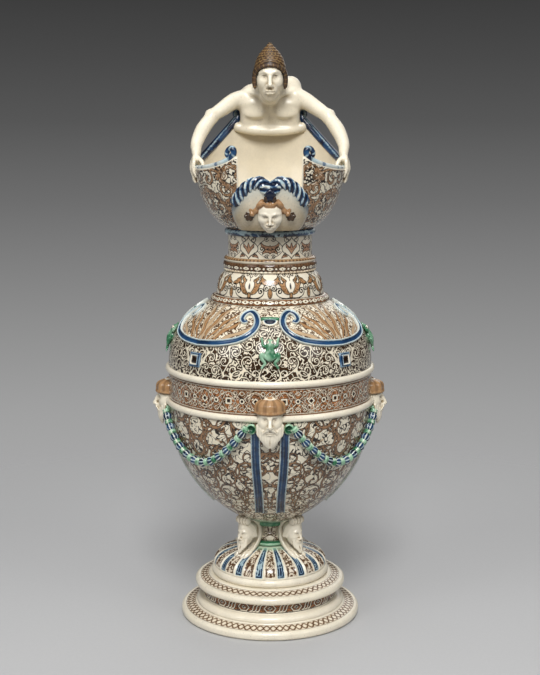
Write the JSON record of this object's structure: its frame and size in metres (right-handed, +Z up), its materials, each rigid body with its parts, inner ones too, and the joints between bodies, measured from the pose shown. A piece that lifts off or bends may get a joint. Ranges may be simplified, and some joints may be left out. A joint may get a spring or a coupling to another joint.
{
  "type": "ewer",
  "caption": "Footed earthenware ewer with inlaid strapwork, applied masks, festoons and ribbons, a spouted pouring bowl and a handle formed by a leaning capped figure.",
  "frame": {"origin": "centre of the foot's underside, on the vessel's axis", "axes": "+Z up the axis, -Y towards the spout, +Y towards the handle, +X to the right seen from the spout"},
  "size_m": [0.1432, 0.1432, 0.351],
  "materials": {
    "ivory_glaze": "glossy",
    "brown_inlay": "glossy",
    "rust_inlay": "glossy",
    "dark_inlay": "glossy",
    "blue_glaze": "glossy",
    "green_glaze": "glossy",
    "cap_glaze": "glossy"
  },
  "bodies": {
    "root": {"foot_flange": "brown_inlay", "foot_drum": "rust_inlay", "foot_step": "brown_inlay", "foot_dome": "blue_glaze", "stem": "ivory_glaze", "bowl_ring": "green_glaze", "console_front_left": "ivory_glaze", "console_front_right": "ivory_glaze", "console_back_left": "ivory_glaze", "console_back_right": "ivory_glaze", "bowl": "brown_inlay", "lower_bead": "ivory_glaze", "frieze_band": "rust_inlay", "upper_bead": "ivory_glaze", "shoulder": "dark_inlay", "mask_front": "ivory_glaze", "ribbon_front_a": "blue_glaze", "ribbon_front_b": "blue_glaze", "mask_right": "ivory_glaze", "ribbon_right_a": "blue_glaze", "ribbon_right_b": "blue_glaze", "mask_back": "ivory_glaze", "ribbon_back_a": "blue_glaze", "ribbon_back_b": "blue_glaze", "mask_left": "ivory_glaze", "ribbon_left_a": "blue_glaze", "ribbon_left_b": "blue_glaze", "festoon_front_left": "green_glaze", "strap_front_left": "blue_glaze", "jewel_front_left": "blue_glaze", "festoon_front_right": "green_glaze", "strap_front_right": "blue_glaze", "jewel_front_right": "blue_glaze", "festoon_back_left": "green_glaze", "strap_back_left": "blue_glaze", "jewel_back_left": "blue_glaze", "festoon_back_right": "green_glaze", "strap_back_right": "blue_glaze", "jewel_back_right": "blue_glaze", "frog_front": "green_glaze", "frog_right": "green_glaze", "frog_left": "green_glaze", "neck_collar": "ivory_glaze", "neck_bulge": "ivory_glaze", "rope_ring": "dark_inlay", "neck_tube": "ivory_glaze", "neck_ring": "blue_glaze", "pour_bowl": "rust_inlay", "rim_left": "blue_glaze", "rim_right": "blue_glaze", "spout_lip": "ivory_glaze", "spout_crest": "blue_glaze", "spout_mask": "ivory_glaze", "torso": "ivory_glaze", "head": "ivory_glaze", "cap": "cap_glaze", "arm_left": "ivory_glaze", "arm_right": "ivory_glaze", "handle": "ivory_glaze"}
  },
  "joints": []
}
